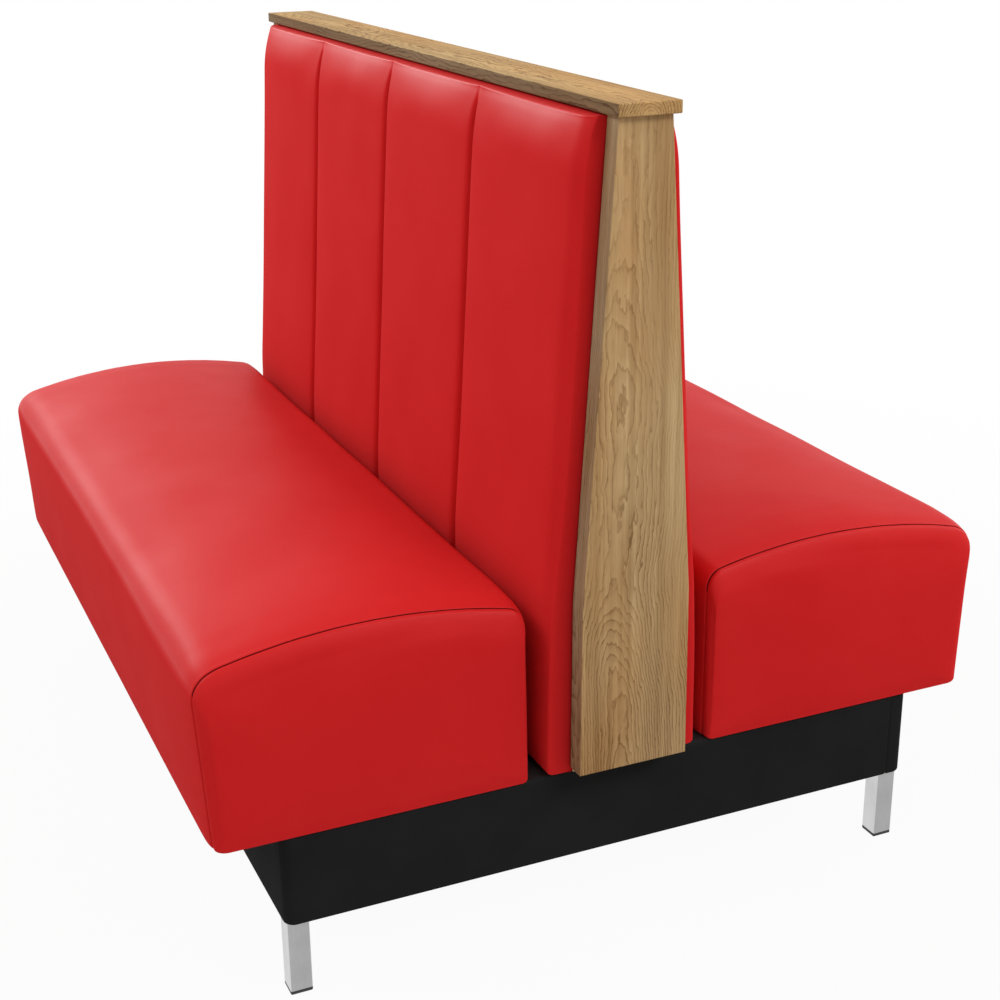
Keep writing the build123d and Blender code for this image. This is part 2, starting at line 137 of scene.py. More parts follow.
PUCKER_SHIFT = 40
PUCKER_REACH = 8.0 * MM
PUCKER_START = 1.5 * MM
PUCKER_CORE = 60.0 * MM
RUFFLE_CORE = 20.0 * MM

# The back and its pads
CAP_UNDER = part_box("cap_board")[0].z
BASE_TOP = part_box("base_deck")[1].z
END_CAP_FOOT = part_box("end_cap_near")[0].z
PAD_LOW, PAD_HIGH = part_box("back_cover_right")
PAD_HALF = PAD_HIGH.x
PAD_MIDDLE_Z = (PAD_LOW.z + PAD_HIGH.z) / 2
PAD_CHANNELS = 4
CHANNEL_WIDTH = 2 * PAD_HALF / PAD_CHANNELS
KNEE_Z = BASE_TOP + 239.0 * MM
CAP_TOP_HALF = 34.0 * MM
CAP_KNEE_HALF = 73.0 * MM
CAP_FOOT_HALF = 75.0 * MM
PANEL_SETBACK = 4.0 * MM
PAD_CROWN = 36.0 * MM
PAD_SEAM = 32.0 * MM
PAD_DOME = 1.6 * MM
PAD_END_FOOT = (7.0 * MM, 7.0 * MM)
PAD_END_MIDDLE = (28.0 * MM, 18.0 * MM)
PAD_END_HEAD = (32.0 * MM, 14.0 * MM)
PAD_END_LOW = (0.10, 0.42)
PAD_END_HIGH = (0.55, 0.74)
PAD_END_POWER = 2.0
PAD_HEAD_ROUND = 75.0 * MM
PAD_HEAD_DEPTH = 9.5 * MM
PAD_HEAD_POWER = 2.5
PAD_HEAD_EDGE = 2.5 * MM
SEAM_FADE_HEAD = (50.0 * MM, 10.0 * MM)
PAD_FOOT_ROUND = 5.0 * MM
KNEE_SOFT = 20.0 * MM
PAD_FACE_POINTS = 54
PAD_HEAD_POINTS = 12
PAD_TIP_POINTS = 4
PAD_SMALL_SHARES = (0.8, 0.5, 0.3)
SEAM_FADE_MOST = 0.9
PAD_CALM_EDGE = 30.0 * MM
PAD_WAVES = (13, 7)
PAD_SEED = 41
FOAM_REAR_GAP = 0.5 * MM
FOAM_DEPTH_INSET = 1.4
CHANNEL_STEPS = (0, 0.5, 1.0, 1.6, 2.4, 3.6, 5.2, 7.5, 10.5, 14.5, 21, 30, 42, 58)
CHANNEL_PLACES = [v * MM for v in CHANNEL_STEPS]
CHANNEL_MIDDLE = 17
CHANNEL_POWERS = (2.4, 0.62)
CHANNEL_SOFT = 13.0 * MM
CHANNEL_GROOVE = 14.0 * MM
CHANNEL_GROOVE_WIDTH = 3.2 * MM

# The base
BASE_LOW, BASE_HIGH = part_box("base_cover")
BASE_CORNER = 15.0 * MM
BASE_EDGE = 4.0 * MM
BASE_RETURN = 45.0 * MM
BASE_SEAM_Y = 424.0 * MM
BASE_SEAM_DEPTH = 1.0 * MM
BASE_SEAM_WIDTH = 1.4 * MM
BASE_SEAM_STEPS = (-2.5, -1.5, -1, -0.5, 0, 0.5, 1, 1.5, 2.5)
BASE_SKIN_INSET = 0.3 * MM
BASE_TOP_EDGE = (0.6 * MM, 0.5 * MM)
BASE_ACROSS = 32
BASE_ALONG = 42
BASE_CORNER_POINTS = 9
BASE_EDGE_POINTS = 6
BASE_LEVELS = 12

# Camera, fitted to the photograph
CAMERA_PLACE = (2.30969, -0.91439, 1.32075)
CAMERA_TURN_DEG = (69.2366, 0.5603, 66.0278)
CAMERA_LENS = 61.383
CAMERA_SENSOR = 36.0

# Light
SURROUND = 0.55
FLOOR_WHITE = 0.95
FLOOR_FADE = (0.95, 2.2)
FLOOR_HALF = 9.0
LAMP_TARGET = (0, 0, 0.5)
LAMPS = (
    ("behind", (-4.2, 1.0, 2.0), (5.0, 1.4), 0.3),
    ("behind_left", (-4.0, -1.8, 2.6), (2.4, 1.2), 9.6),
    ("before", (3.3, 1.8, 3.3), (3.2, 0.7), 9.4),
    ("corner", (3.4, -2.6, 2.2), (1.8, 1.8), 0.8),
    ("left", (0.0, -3.6, 4.2), (2.6, 1.6), 4.4),
    ("right", (1.4, 4.4, 2.6), (2.6, 1.6), 3.8),
    ("overhead", (0.6, 0.8, 4.2), (2.0, 0.4), 2.2),
)


# Mesh helpers


def add_object(name, data):
    """A new object in the scene."""
    obj = bpy.data.objects.new(name, data)
    bpy.context.scene.collection.objects.link(obj)
    return obj


def mesh_object(name, verts, faces, smooth=True):
    """A mesh object from lists of points and faces."""
    mesh = bpy.data.meshes.new(name)
    mesh.from_pydata([tuple(v) for v in verts], [], [tuple(f) for f in faces])
    mesh.validate()
    mesh.polygons.foreach_set("use_smooth", [smooth] * len(mesh.polygons))
    return add_object(name, mesh)


def grid_faces(rows, columns, closed=False):
    """Quads over a grid of points, each row closed on itself if asked."""
    faces = []
    last = columns if closed else columns - 1
    for i in range(rows - 1):
        for j in range(last):
            k = (j + 1) % columns
            here, above = i * columns, (i + 1) * columns
            faces.append((here + j, here + k, above + k, above + j))
    return faces


def closed_faces(rows, columns):
    """Quads over closed rings, with a face over each end."""
    faces = grid_faces(rows, columns, closed=True)
    faces.append(tuple(range(columns))[::-1])
    faces.append(tuple((rows - 1) * columns + j for j in range(columns)))
    return faces


def body_object(name, rings):
    """A closed body from rings of points."""
    return mesh_object(name, rings.reshape(-1, 3), closed_faces(*rings.shape[:2]))


def skin_object(name, rows, closed=False):
    """An open skin from rows of points."""
    return mesh_object(name, rows.reshape(-1, 3), grid_faces(*rows.shape[:2], closed=closed))


def turn_outward(obj, centre):
    """Make a skin's faces look away from a point."""
    mesh = obj.data
    count = len(mesh.polygons)
    normals, centres, areas = np.zeros(count * 3), np.zeros(count * 3), np.zeros(count)
    mesh.polygons.foreach_get("normal", normals)
    mesh.polygons.foreach_get("center", centres)
    mesh.polygons.foreach_get("area", areas)
    out = (normals.reshape(-1, 3) * (centres.reshape(-1, 3) - np.array(centre))).sum(axis=1)
    if (out * areas).sum() < 0:
        mesh.flip_normals()
    return obj


def line(a, b, count):
    """Points from a to b, without b."""
    a, b = np.array(a, float), np.array(b, float)
    return [a + (b - a) * i / count for i in range(count)]


def corner(start, tip, end, count, fullness=0.62):
    """Points on a soft corner from start to end that leans towards its tip, without the end."""
    p0, tip, p3 = (np.array(p, float) for p in (start, tip, end))
    p1, p2 = p0 + (tip - p0) * fullness, p3 + (tip - p3) * fullness
    points = []
    for i in range(count):
        t = i / count
        u = 1 - t
        points.append(u**3 * p0 + 3 * u * u * t * p1 + 3 * u * t * t * p2 + t**3 * p3)
    return points


def arc(centre, radius, turns):
    """Points on a circle at some angles."""
    return [centre + radius * np.array([math.cos(turn), math.sin(turn)]) for turn in turns]


def toward(a, b, distance):
    """The point at a distance from a on the way to b."""
    a, b = np.array(a, float), np.array(b, float)
    return a + (b - a) * distance / np.linalg.norm(b - a)


def section(x, outline):
    """An outline's points in y and z, placed at x."""
    return np.column_stack([np.full(len(outline), x), outline])


def ease(values, start, stop):
    """A smooth rise from zero at start to one at stop."""
    rise = np.clip((values - start) / (stop - start), 0, 1)
    return rise * rise * (3 - 2 * rise)


def smooth_noise(u, v, seed):
    """A slow wander in two directions, between about -1 and 1, the same on every run."""
    phase = np.random.default_rng(seed).uniform(0, 2 * math.pi, 8)
    waves = (
        np.sin(1.0 * u + phase[0]) * np.cos(0.8 * v + phase[1])
        + 0.6 * np.sin(2.3 * u + 1.7 * v + phase[2])
        + 0.5 * np.cos(3.1 * u - 2.2 * v + phase[3])
        + 0.3 * np.sin(5.3 * u + phase[4]) * np.sin(4.1 * v + phase[5])
    )
    return waves / 1.6


# Seats


def crown_points(front, peak, rear):
    """Points over the seat's crown on the circle through its front, peak and rear."""
    a, b, c = (np.array(point) for point in (front, peak, rear))
    sides = np.array([b - a, c - a]) * 2
    centre = np.linalg.solve(sides, np.array([b @ b - a @ a, c @ c - a @ a]))
    start, stop = (math.atan2(*(point - centre)[::-1]) for point in (a, c))
    return arc(centre, np.linalg.norm(a - centre), np.linspace(start, stop, ARC_POINTS))


def seat_outline(draw, swell, rear_draw=None):
    """The seat's outline from its rear fold over the crown to its front fold, in y and z."""
    rear = SEAT_REAR + (draw if rear_draw is None else rear_draw)
    foot = SEAT_FOOT - draw
    front = foot + SEAT_LEAN
    bottom = SEAT_BOTTOM
    peak = SEAT_PEAK - SEAT_SWELL - draw + swell
    front_top = (front, peak - SEAT_FRONT_DROP)
    rear_top = (rear, peak - SEAT_REAR_DROP)
    peak_y = rear + (front - rear) * SEAT_PEAK_SHARE
    over = crown_points(front_top, (peak_y, peak), rear_top)
    lengths = np.cumsum([0] + [np.linalg.norm(b - a) for a, b in zip(over, over[1:])])
    start = int(np.searchsorted(lengths, SEAT_FRONT_ROUND))
    stop = int(np.searchsorted(lengths, lengths[-1] - SEAT_REAR_ROUND))
    rear_foot, front_foot = (rear, bottom), (foot, bottom)
    rear_low = toward(rear_foot, rear_top, SEAT_FOOT_ROUND)
    rear_high = toward(rear_top, rear_foot, SEAT_REAR_ROUND)
    front_high = toward(front_top, front_foot, SEAT_FRONT_ROUND)
    front_low = toward(front_foot, front_top, SEAT_FOOT_ROUND)
    crown = list(resample(over[start : stop + 1][::-1], CROWN_POINTS))
    rear_turn, front_turn = (rear + SEAT_FOOT_ROUND, bottom), (foot - SEAT_FOOT_ROUND, bottom)
    points = line((rear + FOLD, bottom), rear_turn, FOOT_POINTS)
    points += corner(rear_turn, rear_foot, rear_low, FOOT_POINTS)
    points += line(rear_low, rear_high, FACE_POINTS)
    points += corner(rear_high, rear_top, crown[0], REAR_CORNER_POINTS)
    points += crown[:-1]
    points += corner(crown[-1], front_top, front_high, FRONT_CORNER_POINTS)
    points += line(front_high, front_low, FACE_POINTS)
    points += corner(front_low, front_foot, front_turn, FOOT_POINTS)
    points += line(front_turn, (foot - FOLD, bottom), FOOT_POINTS)
    points.append(np.array([foot - FOLD, bottom]))
    return np.array(points)


def resample(points, count):
    """The same path with evenly spaced points."""
    points = np.array(points)
    steps = np.concatenate([[0], np.cumsum(np.linalg.norm(np.diff(points, axis=0), axis=1))])
    places = np.linspace(0, steps[-1], count)
    return np.stack([np.interp(places, steps, column) for column in points.T], axis=1)


def seam_draw(distance):
    """How far the wrap is drawn in at a distance from its seam."""
    share = min(max(distance / SEAM_FADE, 0), 1)
    return SEAM_DRAW * (1 - share) ** SEAM_FADE_POWER * math.exp(-SEAM_FADE_RATE * share)


def lip_drop(distance):
    """How far a turned-in edge has rolled down at a distance from its seam."""
    share = min(distance / LIP_ROUND, 1)
    return LIP_ROUND * (1 - math.sqrt(1 - (1 - share) ** 2))


def wrap_stations():
    """Place, draw and swell of the wrap's sections, from its near turned-in lip to its far one."""
    half = SEAM_X - SEAM_GAP
    stations = []
    for share in LIP_SHARES:
        stations.append((half + SEAM_GAP * SEAM_CLOSED * share, SEAM_DRAW + SEAM_LIP * share, 0))
    for distance in SEAM_PLACES:
        lip_round = lip_drop(distance)
        swell = SEAT_SWELL * (1 - math.exp(-distance / SWELL_REACH))
        stations.append((half - distance, seam_draw(distance) + lip_round, swell))
    edge = half - SEAM_PLACES[-1]
    middle = [(x, 0, SEAT_SWELL) for x in np.linspace(edge, -edge, WRAP_STATIONS)[1:-1]]
    far = [(-x, draw, swell) for x, draw, swell in reversed(stations)]
    return stations + middle + far


def end_stations():
    """Place, draw, drop and rear draw of an end panel's rings, from its lip to its face's rim."""
    rim = SEAT_END_X - END_DOME
    stations = []
    for share in LIP_SHARES:
        draw = SEAM_DRAW + SEAM_LIP * share
        stations.append((SEAM_X + SEAM_GAP * (1 - SEAM_CLOSED * share), draw, 0, draw))
    for distance in PANEL_PLACES:
        draw = PANEL_DRAW + PANEL_STEP + lip_drop(distance)
        stations.append((SEAM_X + SEAM_GAP + distance, draw, 0, draw))
    start = stations[-1][0]
    for angle in np.linspace(*END_TURN_DEG, END_TURNS):
        turn = math.radians(angle)
        sunk = 1 - math.cos(turn)
        drop = END_DROP * sunk**END_DROP_POWER
        place = start + (rim - start) * math.sin(turn)
        edge = PANEL_DRAW + PANEL_STEP * (1 - sunk)
        stations.append((place, edge + END_ROUND * sunk, drop, edge + END_REAR_ROUND * sunk))
    return stations


def end_rings():
    """Rings of points over a seat's near end panel, closing towards the middle of its face."""
    rings = []
    for place, draw, drop, rear_draw in end_stations():
        rings.append(section(place, seat_outline(draw, -drop, rear_draw)))
    rim = rings[-1]
    centre = (rim.min(axis=0) + rim.max(axis=0)) / 2
    for scale in FACE_SCALES:
        ring = centre + (rim - centre) * scale
        ring[:, 0] = rim[0, 0] + END_DOME * (1 - scale**2) ** END_DOME_POWER
        rings.append(ring)
    return rings


def seat_points():
    """All rings of one seat's cover, near face to far face, with what each ring belongs to."""
    near = end_rings()
    wrap = [section(x, seat_outline(draw, swell)) for x, draw, swell in wrap_stations()]
    far = [ring * np.array([-1, 1, 1]) for ring in near]
    kinds = ["near"] * len(near) + ["wrap"] * len(wrap) + ["far"] * len(far)
    return np.array(list(reversed(near)) + wrap + far), np.array(kinds)


def inflate(name, points, held, limit):
    """Swell a closed body of rings by a short cloth simulation, held at its seams and capped."""
    body = body_object(name, points)
    turn_outward(body, points.reshape(-1, 3).mean(axis=0))
    group = body.vertex_groups.new(name="held")
    group.add(np.flatnonzero(held.reshape(-1)).tolist(), 1.0, "REPLACE")
    cloth = body.modifiers.new("cloth", "CLOTH")
    for key, value in CLOTH_VALUES.items():
        setattr(cloth.settings, key, value)
    cloth.settings.effector_weights.gravity = 0
    cloth.collision_settings.use_collision = False
    cloth.collision_settings.use_self_collision = False
    cloth.point_cache.frame_start = 1
    cloth.point_cache.frame_end = CLOTH_FRAMES
    scene = bpy.context.scene
    for number in range(1, CLOTH_FRAMES + 1):
        scene.frame_set(number)
    swollen = body.evaluated_get(bpy.context.evaluated_depsgraph_get()).to_mesh()
    moved = np.zeros(points.size)
    swollen.vertices.foreach_get("co", moved)
    body.evaluated_get(bpy.context.evaluated_depsgraph_get()).to_mesh_clear()
    bpy.data.objects.remove(body)
    scene.frame_set(1)
    step = moved.reshape(points.shape) - points
    size = np.linalg.norm(step, axis=2, keepdims=True)
    capped = step * limit * np.tanh(size / limit) / np.maximum(size, 1e-9)
    calm = capped.copy()
    for _ in range(CREASE_PASSES):
        padded = np.concatenate([calm[:1], calm, calm[-1:]])
        around = np.roll(calm, 1, axis=1) + np.roll(calm, -1, axis=1) + padded[:-2] + padded[2:]
        calm = (calm + around) / 5 * ~held[:, :, None]
    return points + calm * (1 - CREASE_SHARE) + capped * CREASE_SHARE


def ruffle(points, seed):
    """The slight unevenness of hand-stretched vinyl, with small puckers along the sewn seams."""
    x, y, z = points[:, :, 0], points[:, :, 1], points[:, :, 2]
    from_seam = SEAM_X - np.abs(x)
    lifted = np.clip((z - SEAT_BOTTOM) / RUFFLE_RISE, 0, 1)
    slow = smooth_noise(x * SLOW_WAVES[0], (y + z) * SLOW_WAVES[1], seed) * SLOW_RUFFLE
    across = np.sign(x) * PUCKER_SHIFT + (y - z) * PUCKER_WAVES[0]
    pucker = smooth_noise(across, x * PUCKER_WAVES[1], seed + 1) * PUCKER
    pucker *= np.exp(-np.abs(from_seam) / PUCKER_REACH)
    pucker *= np.clip(np.abs(from_seam) / PUCKER_START, 0, 1)
    out_y, out_z = y - SEAT_MIDDLE_Y, z - SEAT_BOTTOM - RUFFLE_MIDDLE
    size = np.maximum(np.sqrt(out_y**2 + out_z**2), RUFFLE_CORE)
    push = slow * np.clip(from_seam / SLOW_REACH, 0, 1) + pucker * (size > PUCKER_CORE)
    push = push * lifted
    result = points.copy()
    result[:, :, 1] = y + push * out_y / size
    result[:, :, 2] = z + push * out_z / size
    return result


def finish_skin(obj):
    """Smooth a vinyl skin once more and give it its thickness on the inside."""
    smooth = obj.modifiers.new("smooth", "SUBSURF")
    smooth.levels = smooth.render_levels = 1
    solid = obj.modifiers.new("thickness", "SOLIDIFY")
    solid.thickness = VINYL_THICKNESS
    solid.offset = -1.0
    return obj


def lip_faces(first, last, rows, columns):
    """Numbers of a skin's faces before its first row and from its last row on."""
    return [*range(first * columns), *range(last * columns, rows * columns)]


def seat_covers(side_name, side, points, kinds):
    """The wrap and the two end panels of one seat, each with the numbers of its turned-in faces."""
    points = ruffle(points, RUFFLE_SEEDS[side_name])
    points[:, :, 1] *= side
    middle = (0, side * SEAT_MIDDLE_Y, (SEAT_BOTTOM + SEAT_PEAK) / 2)
    columns = points.shape[1]
    wrap_rows = points[kinds == "wrap"]
    wrap = skin_object(f"seat_{side_name}_wrap_vinyl", wrap_rows)
    last = len(wrap_rows) - 1
    lips = lip_faces(LIP_ROWS, last - LIP_ROWS, last, columns - 1)
    pieces = {"wrap": (finish_skin(turn_outward(wrap, middle)), lips)}
    for end_name in ENDS:
        rows = points[kinds == end_name]
        faces = grid_faces(len(rows), columns, closed=True)
        last = len(rows) - 1
        face_row = 0 if end_name == "near" else last
        inner = (0, last - LIP_ROWS) if end_name == "near" else (LIP_ROWS, last)
        tip = rows[face_row].mean(axis=0)
        ring = face_row * columns
        for j in range(columns):
            fan = (ring + j, ring + (j + 1) % columns, len(rows) * columns)
            faces.append(fan[::-1] if end_name == "near" else fan)
        name = f"seat_{side_name}_end_vinyl_{end_name}"
        panel = mesh_object(name, np.vstack([rows.reshape(-1, 3), tip]), faces)
        lips = lip_faces(*inner, last, columns)
        pieces[end_name] = (finish_skin(turn_outward(panel, middle)), lips)
    return pieces


def seat_body():
    """The shape of one seat's whole cover after its simulation, on the right hand side."""
    points, kinds = seat_points()
    from_seam = np.abs(np.abs(points[:, :, 0]) - SEAM_X)
    held = from_seam < SEAM_GAP + SEAT_HELD[0]
    held |= points[:, :, 2] < SEAT_BOTTOM + SEAT_HELD[1]
    return settle_faces(points, inflate("seat_swelling", points, held, SEAT_CAP)), kinds


def settle_faces(flat, swollen):
    """Even out the swelling of both end faces towards their middles."""
    settled = swollen.copy()
    for number, scale in enumerate(reversed(FACE_SCALES)):
        for row in (number, -1 - number):
            step = swollen[row] - flat[row]
            middle = step.mean(axis=0)
            settled[row] = flat[row] + middle + (step - middle) * scale**2
    return settled


def cut_out(obj, low, high):
    """Cut a box out of a closed mesh."""
    corners = list(itertools.product(*zip(low, high)))
    sides = [(0, 1, 3, 2), (4, 6, 7, 5), (0, 4, 5, 1), (2, 3, 7, 6), (0, 2, 6, 4), (1, 5, 7, 3)]
    tool = mesh_object("cutter", corners, sides, smooth=False)
    cut = obj.modifiers.new("cut", "BOOLEAN")
    cut.operation = "DIFFERENCE"
    cut.solver = "EXACT"
    cut.object = tool
    graph = bpy.context.evaluated_depsgraph_get()
    mesh = bpy.data.meshes.new_from_object(obj.evaluated_get(graph))
    obj.modifiers.clear()
    obj.data = mesh
    bpy.data.objects.remove(tool)
    return obj


def shrunk(points, middle, inset):
    """Rings of points drawn in towards a middle by about the same distance all round."""
    spans = np.abs(points - middle).max(axis=(0, 1))
    return middle + (points - middle) * (1 - inset / spans)


def seat_foam(side_name, side, points):
    """The foam block under one seat's cover, hollowed for the wooden frame."""
    middle = np.array([0, SEAT_MIDDLE_Y, SEAT_BOTTOM + FOAM_MIDDLE])
    rows = shrunk(points[::2, ::2], middle, FOAM_INSET)
    rows[:, :, 1] *= side
    block = body_object(f"seat_{side_name}_foam_block", rows)
    turn_outward(block, (0, side * middle[1], middle[2]))
    low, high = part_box(f"seat_{side_name}_board")
    return cut_out(block, (low.x, low.y, SEAT_BOTTOM - CUT_BELOW), tuple(high))


def dust_cover(side_name, side):
    """The thin black cloth under a seat, a little slack between its staples."""
    low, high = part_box(f"seat_{side_name}_dust_cover")
    places = (np.linspace(a, b, count) for a, b, count in zip(low, high, DUST_GRID))
    gx, gy = np.meshgrid(*places, indexing="ij")
    slack = smooth_noise(gx * DUST_WAVES[0], gy * DUST_WAVES[1], DUST_SEED + side) * DUST_SLACK
    rows = np.stack([gx, gy, low.z + DUST_RISE + slack], axis=-1)
    obj = skin_object(f"seat_{side_name}_dust_cloth", rows)
    return obj, (high.y - low.y, high.x - low.x)


# Back pads


def wood_half(z):
    """Half the width of the tapered end cap at a height."""
    if z >= KNEE_Z:
        share = (z - KNEE_Z) / (CAP_UNDER - KNEE_Z)
        return CAP_KNEE_HALF + (CAP_TOP_HALF - CAP_KNEE_HALF) * share
    share = (z - END_CAP_FOOT) / (KNEE_Z - END_CAP_FOOT)
    return CAP_FOOT_HALF + (CAP_KNEE_HALF - CAP_FOOT_HALF) * share


def channel_depth(x):
    """The pad's depth across its channels: almost flat panels between narrow sewn creases."""
    channels = (x + PAD_HALF) / CHANNEL_WIDTH
    place = channels % 1 * CHANNEL_WIDTH
    to_seam = min(place, CHANNEL_WIDTH - place)
    depth = PAD_CROWN - PAD_DOME + PAD_DOME * math.sin(math.pi * place / CHANNEL_WIDTH)
    if 0 < round(channels) < PAD_CHANNELS:
        share = min(to_seam / CHANNEL_SOFT, 1)
        inner, outer = CHANNEL_POWERS
        depth -= (PAD_CROWN - PAD_SEAM) * (1 - (1 - (1 - share) ** inner) ** outer)
        depth -= CHANNEL_GROOVE * math.exp(-((to_seam / CHANNEL_GROOVE_WIDTH) ** 2))
    return depth


def pad_columns():
    """Places along the pad, crowded at its seams and rounded ends."""
    last = CHANNEL_PLACES[-1]
    middle = list(np.linspace(last, CHANNEL_WIDTH - last, CHANNEL_MIDDLE)[1:-1])
    offsets = CHANNEL_PLACES + middle + [CHANNEL_WIDTH - v for v in CHANNEL_PLACES[:0:-1]]
    places = []
    for i in range(PAD_CHANNELS):
        start = i * CHANNEL_WIDTH - PAD_HALF
        places += [start + value for value in offsets]
    places.append(PAD_HALF)
    return places


def panel_y(z):
    """The pad's flat rear at a height, on the panel behind it."""
    return wood_half(z) - PANEL_SETBACK


pad_rear = np.vectorize(panel_y)


def pad_outline(depth):
    """The pad's outline in y and z, from its rear foot round the front to its rear head."""
    low, high = PAD_LOW.z, PAD_HIGH.z
    foot_y, knee_y, head_y = panel_y(low), panel_y(KNEE_Z), panel_y(high)
    rounds = zip((PAD_FOOT_ROUND, PAD_HEAD_DEPTH, PAD_HEAD_EDGE), PAD_SMALL_SHARES)
    foot_round, head_depth, head_edge = (min(value, depth * share) for value, share in rounds)
    front_turn = (foot_y + depth - foot_round, low)
    front_low = (foot_y + depth, low + foot_round)
    below_knee = (knee_y + depth, KNEE_Z - KNEE_SOFT)
    above_knee = (panel_y(KNEE_Z + KNEE_SOFT) + depth, KNEE_Z + KNEE_SOFT)
    front_head_z = high - PAD_HEAD_ROUND
    front_head = (panel_y(front_head_z) + depth, front_head_z)
    points = line((foot_y, low), front_turn, FOOT_POINTS)
    points += corner(front_turn, (foot_y + depth, low), front_low, FOOT_POINTS)
    points += line(front_low, below_knee, FACE_POINTS)
    points += corner(below_knee, (knee_y + depth, KNEE_Z), above_knee, PAD_TIP_POINTS)
    points += line(above_knee, front_head, PAD_FACE_POINTS)
    for share in np.linspace(0, 1, PAD_HEAD_POINTS + 1)[:-1]:
        z = front_head_z + (PAD_HEAD_ROUND - head_edge) * share
        y = panel_y(z) + depth - head_depth * share**PAD_HEAD_POWER
        points.append(np.array([y, z]))
    tip_y = head_y + depth - head_depth
    tip_turn = (tip_y - head_edge, high)
    points += corner((tip_y, high - head_edge), (tip_y, high), tip_turn, PAD_TIP_POINTS)
    points += line(tip_turn, (head_y, high), PAD_TIP_POINTS)
    points.append(np.array([head_y, high]))
    return np.array(points)


def end_limit(x, rounding):
    """The pad's most depth at a place along it, for its end rounding's width and depth."""
    width, depth = rounding
    share = 1 - min((PAD_HALF - abs(x)) / width, 1)
    return PAD_CROWN - depth * (1 - math.sqrt(1 - share**PAD_END_POWER))


def rounded_outline(x, depth):
    """The pad's outline at one column, with its end tight at the foot and softer above."""
    outline = pad_outline(min(depth, end_limit(x, PAD_END_FOOT)))
    for rounding, span in ((PAD_END_MIDDLE, PAD_END_LOW), (PAD_END_HEAD, PAD_END_HIGH)):
        after = pad_outline(min(depth, end_limit(x, rounding)))
        rise = ease(after[:, 1:] - PAD_LOW.z, *span)
        outline = outline * (1 - rise) + after * rise
    return outline


def pad_points():
    """Rings of points over the right hand pad, from its far end to its near end."""
    columns = []
    start, stop = (PAD_HIGH.z - value for value in SEAM_FADE_HEAD)
    for x in pad_columns():
        sewn = rounded_outline(x, channel_depth(x))
        plain = rounded_outline(x, PAD_CROWN - PAD_DOME)
        fade = SEAM_FADE_MOST * ease(sewn[:, 1:], start, stop)
        columns.append(section(x, sewn * (1 - fade) + plain * fade))
    return np.array(columns)


def pad_body():
    """The shape of one pad after its simulation, on the right hand side."""
    points = pad_points()
    x, y, z = points[:, :, 0], points[:, :, 1], points[:, :, 2]
    place = (x + PAD_HALF) % CHANNEL_WIDTH
    on_seam = np.minimum(place, CHANNEL_WIDTH - place) < PAD_HELD[0]
    held = on_seam | (y < pad_rear(z) + PAD_HELD[1])
    return inflate("pad_swelling", points, held, PAD_CAP)


def back_pad(side_name, side, points):
    """One channelled back cover: four upright pillows with rounded ends, open at the rear."""
    points = points.copy()
    x, z = points[:, :, 0], points[:, :, 2]
    inside = np.clip((PAD_HALF - np.abs(x)) / PAD_CALM_EDGE, 0, 1)
    inside = inside * np.clip((z - PAD_LOW.z) / PAD_CALM_EDGE, 0, 1)
    slow = smooth_noise(x * PAD_WAVES[0], z * PAD_WAVES[1], PAD_SEED + side)
    points[:, :, 1] += slow * SLOW_RUFFLE * inside
    ends = []
    for row in (points[0], points[-1]):
        closing = row.copy()
        closing[:, 1] = np.minimum(row[:, 1], pad_rear(row[:, 2]))
        ends.append((closing, (row + closing) / 2))
    rows = np.array([*ends[0], *points, ends[1][1], ends[1][0]])
    rows[:, :, 1] *= side
    pad = skin_object(f"back_{side_name}_channel_vinyl", rows)
    return finish_skin(turn_outward(pad, (0, 0, PAD_MIDDLE_Z)))


def pad_foam(side_name, side, points):
    """The foam inside one back pad, drawn in at its ends alone so that it meets the seams."""
    rows = points[::2, ::2].copy()
    x, y, z = (rows[:, :, axis] for axis in range(3))
    depth = np.maximum(y - pad_rear(z), 0)
    x *= 1 - FOAM_INSET / PAD_HALF * (np.abs(x) / PAD_HALF) ** FOAM_END_POWER
    z[:] = PAD_MIDDLE_Z + (z - PAD_MIDDLE_Z) * (1 - FOAM_INSET / (PAD_HIGH.z - PAD_MIDDLE_Z))
    thinner = 1 - FOAM_DEPTH_INSET * FOAM_INSET / PAD_CROWN
    y[:] = (pad_rear(z) + FOAM_REAR_GAP + depth * thinner) * side
    foam = body_object(f"back_{side_name}_foam_pad", rows)
    return turn_outward(foam, rows.reshape(-1, 3).mean(axis=0))


# Base


def seam_dip(value):
    """How far the base's skin is drawn in at a distance across its upright seam."""
    return BASE_SEAM_DEPTH * math.exp(-((value / BASE_SEAM_WIDTH) ** 2))


def rounded_plan(inset):
    """Points round the base's plan, drawn in by an inset and at the upright seams on its ends."""
    half_x, half_y = BASE_HIGH.x - inset, BASE_HIGH.y - inset
    radius = max(BASE_CORNER - inset, 1 * MM)
    seam_y = min(BASE_SEAM_Y, half_y - radius - 3 * BASE_SEAM_WIDTH)
    seam_places = [seam_y + v * BASE_SEAM_WIDTH for v in BASE_SEAM_STEPS]
    across = [*np.linspace(-half_y + radius, half_y - radius, BASE_ACROSS), *seam_places]
    across = sorted(across)[1:-1]
    along = np.linspace(-half_x + radius, half_x - radius, BASE_ALONG)[1:-1]
    long_side = [np.array([-v, half_y]) for v in along]
    short_side = [np.array([-half_x + seam_dip(v - seam_y), -v]) for v in across]
    points = []
    for sign, angle_start, side in (
        ((1, 1), 0, long_side),
        ((-1, 1), 90, short_side),
        ((-1, -1), 180, [-p for p in long_side]),
        ((1, -1), 270, [-p for p in short_side]),
    ):
        centre = np.array(sign) * (half_x - radius, half_y - radius)
        turns = np.radians(np.linspace(angle_start, angle_start + 90, BASE_CORNER_POINTS))
        points += arc(centre, radius, turns) + side
    return np.array(points)


